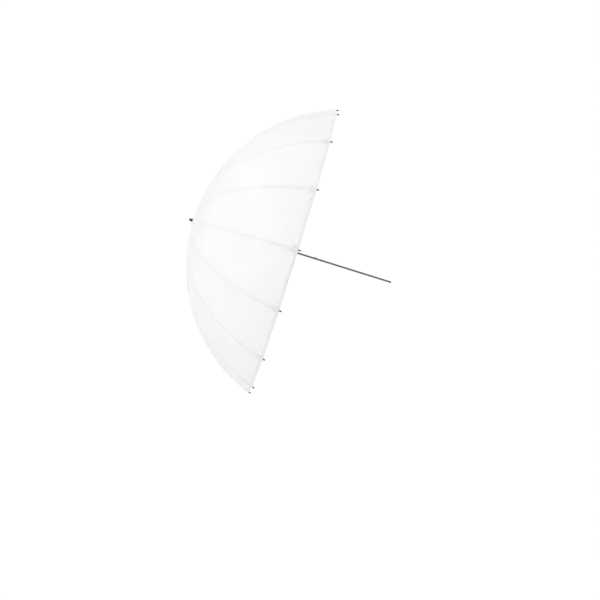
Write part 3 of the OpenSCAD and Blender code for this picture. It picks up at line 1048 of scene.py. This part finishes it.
class UMBRELLA_OT_stretchers(bpy.types.Operator):
    """Makes the stretchers: a tongue on the runner's ring, a steel rod, and a fork with rivets"""

    bl_idname = "umbrella.stretchers"
    bl_label = "Stretchers"

    def execute(self, context):
        s = context.scene.umbrella_fittings
        pivot = on_dome(PIVOT_ANGLE, PIVOT_DEPTH)
        reach = math.hypot(pivot[0] - RUNNER_RING_X, pivot[1] - RING_R)
        lean = math.atan2(pivot[0] - RUNNER_RING_X, pivot[1] - RING_R)
        fork_root = reach - 22 * MM
        parts = [self.rod(s, fork_root), self.sleeve(), self.tongue(), *self.fork(reach, fork_root)]
        for part in parts[1:]:
            paint(part, zinc_plate())
        paint(parts[0], chrome_plate())
        model = join("stretcher", *parts)
        ring = Matrix.Translation((RUNNER_RING_X, 0, RING_R))
        placed(model, ring @ Matrix.Rotation(lean, 4, "Y"))
        for piece in copies(model, "strut", "stretchers", "stretcher", "stretcher"):
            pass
        return {"FINISHED"}

    def rod(self, s, fork_root):
        """Straight steel rod from the sleeve to the fork."""
        half = s.stretcher / 2
        low, high = 14.5 * MM, fork_root - 2 * MM
        return finished(turned("rod", [(0, low), (half, low), (half, high), (0, high)], 16))

    def sleeve(self):
        """Tube crimped over the rod's end."""
        half, low = 2.2 * MM, 12 * MM
        return finished(
            turned(
                "sleeve",
                [(0, low), (half - 0.5 * MM, low), (half, low + 0.6 * MM), (half, low + 4.4 * MM),
                 (half - 0.25 * MM, low + 5 * MM), (half - 0.25 * MM, low + 6.4 * MM),
                 (half, low + 7 * MM), (half, low + 11.7 * MM), (half - 0.3 * MM, low + 12 * MM),
                 (1.6 * MM, low + 12 * MM)],
                24,
            )
        )

    def tongue(self):
        """Flat bar whose round end turns on the runner's ring."""
        bar = round_bar((0, 0), (0, 13 * MM), 2.2 * MM, 1.7 * MM)
        return finished(plate("tongue", bar, 1.8 * MM), 0.2 * MM)

    def fork(self, reach, fork_root):
        """Block on the rod, two prongs with round ends, and a rivet head outside each."""
        gap, thick, wide = 5.6 * MM, 0.8 * MM, 5 * MM
        bpy.ops.mesh.primitive_cube_add(size=1, location=(0, 0, fork_root - 4 * MM))
        block = bpy.context.object
        with edit_whole(block):
            bpy.ops.transform.resize(value=(wide, gap + 2 * thick, 8 * MM))
        placed(block)
        # the end that takes the rod is drawn in to a shoulder
        for v in block.data.vertices:
            if v.co.z < fork_root - 4 * MM:
                v.co.x *= 0.86
                v.co.y *= 0.72
        parts = [finished(block, 0.5 * MM)]
        for side in (-1, 1):
            outline = round_bar((0, fork_root - 1 * MM), (0, reach), wide / 2, wide / 2, 10)
            prong = plate("prong", outline, thick)
            placed(prong, Matrix.Translation((0, side * (gap + thick) / 2, 0)))
            parts.append(finished(prong, 0.15 * MM))
            head = turned(
                "rivet",
                [(0, 0), (1.8 * MM, 0), (1.8 * MM, 0.15 * MM), (1.5 * MM, 0.42 * MM),
                 (0.9 * MM, 0.57 * MM), (0, 0.6 * MM)],
                20,
            )
            turn = Matrix.Rotation(-side * math.pi / 2, 4, "X")
            placed(head, Matrix.Translation((0, side * (gap / 2 + thick), reach)) @ turn)
            parts.append(finished(head))
        return parts


# ---- operators: shaft, hub and ends ----


class UMBRELLA_OT_shaft(bpy.types.Operator):
    """Finishes the shaft, its catches and pins, the stop ring and the plug in its end"""

    bl_idname = "umbrella.shaft"
    bl_label = "Shaft"

    def execute(self, context):
        edge = 0.15 * MM
        paint(self.tube(), chrome_plate())
        for node, name, material, slot in (
            ("stop_ring", "snap_ring", spring_wire(), "wire_steel"),
            ("open_catch", "catch_open", spring_wire(), "spring_steel"),
            ("closed_catch", "catch_closed", spring_wire(), "spring_steel"),
        ):
            paint(softened(node, name, "shaft", edge), material)
        paint(frame["nodes"]["shaft_pins"], zinc_plate())
        low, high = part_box("end_plug")
        face = high.x - 3 * MM
        half = (high.z - low.z) / 2
        bore = half - 1 * MM
        inner = low.x - face
        profile = [(0, inner), (bore - 0.5 * MM, inner), (bore, inner + 0.8 * MM),
                   (bore, 0), (half, 0.05 * MM), (half, 1.6 * MM)]
        profile += [
            (half - 1.4 * MM * (1 - math.cos(a)), 1.6 * MM + 1.4 * MM * math.sin(a))
            for a in np.linspace(0, math.pi / 2, 6)[1:]
        ]
        profile += [(half - 1.8 * MM, 2.9 * MM), (half - 2.2 * MM, 2.6 * MM), (0, 2.6 * MM)]
        plug = turned("plug", profile, 32)
        placed(plug, Matrix.Translation((face, 0, 0)) @ Matrix.Rotation(math.pi / 2, 4, "Y"))
        paint(file_under(finished(plug), "shaft"), black_abs())
        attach(plug, "shaft")
        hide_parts("end_plug")
        return {"FINISHED"}

    def tube(self):
        """Drawn tube with the stop ring's groove, two slots for the catches and three pin holes."""
        low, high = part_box("shaft")
        outer, nose, chamfer = high.z, 8 * MM, 0.3 * MM
        bore = outer - 0.8 * MM
        open_low, open_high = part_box("open_catch")
        closed_low, closed_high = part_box("closed_catch")
        slots = [
            (open_high.x - nose - 0.5 * MM, open_high.x + 1.4 * MM),
            (closed_low.x - 1.4 * MM, closed_low.x + nose + 0.5 * MM),
        ]
        reach = 22 * MM + nose
        pins = [
            (CROWN_RING_X + 9 * MM, 1.05 * MM),
            (open_high.x - reach, 0.8 * MM),
            (closed_low.x + reach, 0.8 * MM),
        ]
        ring_low, ring_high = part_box("stop_ring")
        # rings on both sides of each cut keep the long faces between them clean
        rings = [x for start, end in slots for x in (start - 0.6 * MM, end + 0.6 * MM)]
        rings += [x + side * 2 * MM for x, _ in pins for side in (-1, 1)]
        groove = (ring_low.x - 0.1 * MM, ring_high.x + 0.1 * MM)
        outside = [(outer, x) for x in rings]
        outside += [(outer, groove[0]), (outer - 0.35 * MM, groove[0] + 0.01 * MM)]
        outside += [(outer - 0.35 * MM, groove[1] - 0.01 * MM), (outer, groove[1])]
        outside += [(outer - chamfer, low.x), (outer, low.x + chamfer)]
        outside += [(outer, high.x - chamfer), (outer - chamfer, high.x)]
        outside.sort(key=lambda point: point[1])
        inside = [(bore, x) for x in sorted([low.x, high.x, *rings], reverse=True)]
        tube = turned("tube", outside + inside + outside[:1], 64)
        placed(tube, Matrix.Rotation(math.pi / 2, 4, "Y"))
        cutters = []
        for start, end in slots:
            bpy.ops.mesh.primitive_cube_add(size=1, location=((start + end) / 2, 0, 5 * MM))
            cutters.append(bpy.context.object)
            cutters[-1].scale = (end - start, 3.4 * MM, 8 * MM)
        for x, radius in pins:
            bpy.ops.mesh.primitive_cylinder_add(
                vertices=32, radius=radius, depth=12 * MM, location=(x, 0, 0),
                rotation=(math.pi / 2, 0, 0),
            )
            cutters.append(bpy.context.object)
        for cutter in cutters:
            only(tube)
            cut = tube.modifiers.new("cut", "BOOLEAN")
            cut.operation = "DIFFERENCE"
            cut.object = cutter
            bpy.ops.object.modifier_apply(modifier="cut")
            bpy.data.objects.remove(cutter)
        file_under(finished(tube), "shaft")
        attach(tube, "shaft")
        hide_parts("shaft")
        return tube


class UMBRELLA_OT_cap(bpy.types.Operator):
    """Turns the small ferrule cap that closes the apex over the outer washer"""

    bl_idname = "umbrella.cap"
    bl_label = "Ferrule cap"

    def execute(self, context):
        low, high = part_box("ferrule_cap")
        face = high.x
        reach = face - low.x
        flange, barrel = 8 * MM, 5 * MM
        ball = reach - barrel
        profile = [(4 * MM, 0), (flange - 0.3 * MM, 0), (flange, 0.3 * MM), (flange, 1.3 * MM),
                   (flange - 0.3 * MM, 1.7 * MM), (barrel + 1.3 * MM, 2.0 * MM)]
        # fillet up to the barrel, a groove, then the rounded end
        profile += [
            (barrel + 1.1 * MM * (1 - math.sin(a)), 2.1 * MM + 1.1 * MM * (1 - math.cos(a)))
            for a in np.linspace(0.2, math.pi / 2, 5)
        ]
        profile += [(barrel, ball - 2.4 * MM), (barrel - 0.4 * MM, ball - 2.1 * MM),
                    (barrel - 0.4 * MM, ball - 1.3 * MM), (barrel, ball - 1.0 * MM)]
        profile += [
            (max(barrel * math.cos(a), 0.0), ball + barrel * math.sin(a))
            for a in np.linspace(0, math.pi / 2, 12)
        ]
        cap = turned("cap", profile, 40)
        placed(cap, Matrix.Translation((face, 0, 0)) @ Matrix.Rotation(-math.pi / 2, 4, "Y"))
        paint(file_under(finished(cap), "shaft"), black_abs())
        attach(cap, "shaft")
        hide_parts("ferrule_cap")
        return {"FINISHED"}


class UMBRELLA_OT_hub(bpy.types.Operator):
    """Finishes the notched crown and runner, their wire rings and the two washers"""

    bl_idname = "umbrella.hub"
    bl_label = "Crown and runner"

    def execute(self, context):
        edge = context.scene.umbrella_fittings.edge
        crown = softened("crown", "crown_body", "hub", edge * 0.7)
        paint(crown, glass_filled_nylon())
        runner = softened("runner", "runner_body", "hub", edge * 0.7)
        paint(runner, glass_filled_nylon())
        washers = softened("canopy_washers", "washers", "hub", edge * 0.5)
        paint(washers, polyethylene())
        for name in ("crown_ring", "runner_ring"):
            paint(frame["nodes"][name], spring_wire())
        return {"FINISHED"}


# ---- operator: the stage ----


class UMBRELLA_OT_stage(bpy.types.Operator):
    """Sets the paper floor, the bright wall, the soft lights and the camera"""

    bl_idname = "umbrella.stage"
    bl_label = "Stage"

    def execute(self, context):
        s = context.scene.umbrella_stage
        bpy.ops.object.select_all(action="DESELECT")
        bpy.ops.mesh.primitive_circle_add(
            vertices=96, radius=s.floor_radius, fill_type="NGON", location=(0, 0, -s.floor_drop)
        )
        floor = placed(bpy.context.object)
        floor.name = "floor"
        paint(file_under(floor, "stage"), backdrop_paper("backdrop_paper"))
        self.surround(context, s)
        self.softbox("key", (-2.2, -3.0, 3.0), 2.4, 94)
        self.softbox("fill", (-2.0, -3.2, -2.2), 2.0, 72)
        self.softbox("rim", (2.4, -1.2, 1.6), 1.6, 4)
        self.camera(context, s)
        context.scene.view_settings.view_transform = "Standard"
        return {"FINISHED"}

    def softbox(self, name, place, size, power):
        """Square soft light aimed at the middle of the umbrella."""
        aim = (cad_low + cad_high) / 2
        light = bpy.data.lights.new(name, "AREA")
        light.size = size
        light.energy = power
        lamp = bpy.data.objects.new(name, light)
        collection_of("stage").objects.link(lamp)
        lamp.location = place
        lamp.rotation_euler = (aim - Vector(place)).to_track_quat("-Z", "Y").to_euler()

    def surround(self, context, s):
        """Studio round the object: a bright wall at +Y, a darker room behind the camera.

        Seen directly it is a plain backdrop, white where the wall is lit. As light it is dimmer.
        """
        world = bpy.data.worlds.new("studio")
        context.scene.world = world
        world.use_nodes = True
        tree = world.node_tree
        tree.nodes.clear()
        way = add_node(tree, "ShaderNodeTexCoord")
        part = add_node(tree, "ShaderNodeSeparateXYZ", {}, {0: way.outputs["Generated"]})
        wall = add_node(tree, "ShaderNodeMapRange", {"interpolation_type": "SMOOTHSTEP"},
            {"Value": part.outputs["Y"], "From Min": 0.68, "From Max": 0.9})
        seen = add_node(tree, "ShaderNodeMix", {"data_type": "RGBA"},
            {"Factor": wall.outputs[0], 6: list(s.backdrop_colour) + [1], 7: (1.02, 1.02, 1.02, 1)})
        room = add_node(tree, "ShaderNodeMapRange", {"interpolation_type": "SMOOTHSTEP"},
            {"Value": part.outputs["Y"], "From Min": -0.6, "From Max": 0.25, "To Min": 0.165,
             "To Max": 1.18})
        light = add_node(tree, "ShaderNodeBackground", {}, {"Strength": room.outputs[0]})
        light.inputs["Color"].default_value = shade(linear("FEFEFF"), 1.0)
        plain = add_node(tree, "ShaderNodeBackground", {},
            {"Color": seen.outputs[2], "Strength": 1.0})
        ray = add_node(tree, "ShaderNodeLightPath")
        mix = add_node(tree, "ShaderNodeMixShader", {},
            {"Fac": ray.outputs["Is Camera Ray"], 1: light.outputs[0], 2: plain.outputs[0]})
        add_node(tree, "ShaderNodeOutputWorld", {}, {"Surface": mix.outputs[0]})

    def camera(self, context, s):
        """Camera turned about its line of sight, so that the shaft slopes down to the right."""
        az, el = s.azimuth, s.elevation
        back = Vector((math.sin(az) * math.cos(el), -math.cos(az) * math.cos(el), math.sin(el)))
        level = Vector((math.cos(az), math.sin(az), 0))
        upright = back.cross(level)
        right = level * math.cos(s.roll) + upright * math.sin(s.roll)
        up = upright * math.cos(s.roll) - level * math.sin(s.roll)
        centre = Vector((RIM_X, 0, 0))
        data = bpy.data.cameras.new("camera")
        data.lens = s.lens
        data.sensor_width = 36
        data.clip_start = 0.1
        data.clip_end = 50
        camera = bpy.data.objects.new("camera", data)
        collection_of("stage").objects.link(camera)
        place = centre + right * s.aim_right + up * s.aim_up + back * s.distance
        turn = Matrix((right, up, back)).transposed().to_4x4()
        camera.matrix_world = Matrix.Translation(place) @ turn
        context.scene.camera = camera


class UMBRELLA_PT_panel(bpy.types.Panel):
    """Lists the umbrella's sizes and the steps that build it."""

    bl_idname = "UMBRELLA_PT_panel"
    bl_label = "Studio umbrella"
    bl_space_type = "VIEW_3D"
    bl_region_type = "UI"
    bl_category = "Umbrella"

    def draw(self, context):
        scene = context.scene
        for group in (scene.umbrella_canopy, scene.umbrella_fittings, scene.umbrella_stage):
            box = self.layout.box()
            for name in group.__annotations__:
                box.prop(group, name)
        for step in STEPS:
            self.layout.operator(step.bl_idname)


STEPS = (
    UMBRELLA_OT_ribs,
    UMBRELLA_OT_stretchers,
    UMBRELLA_OT_shaft,
    UMBRELLA_OT_cap,
    UMBRELLA_OT_hub,
    UMBRELLA_OT_seams,
    UMBRELLA_OT_hems,
    UMBRELLA_OT_canopy,
    UMBRELLA_OT_stage,
)
CLASSES = (CanopySettings, FittingSettings, StageSettings, *STEPS, UMBRELLA_PT_panel)


def register():
    for c in CLASSES:
        bpy.utils.register_class(c)
    bpy.types.Scene.umbrella_canopy = PointerProperty(type=CanopySettings)
    bpy.types.Scene.umbrella_fittings = PointerProperty(type=FittingSettings)
    bpy.types.Scene.umbrella_stage = PointerProperty(type=StageSettings)


def unregister():
    del bpy.types.Scene.umbrella_canopy
    del bpy.types.Scene.umbrella_fittings
    del bpy.types.Scene.umbrella_stage
    for c in reversed(CLASSES):
        bpy.utils.unregister_class(c)


def main():
    """Registers the add-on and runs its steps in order."""
    register()
    bpy.ops.object.select_all(action="DESELECT")
    for step in STEPS:
        group, name = step.bl_idname.split(".")
        getattr(getattr(bpy.ops, group), name)()


if __name__ == "__main__":
    main()
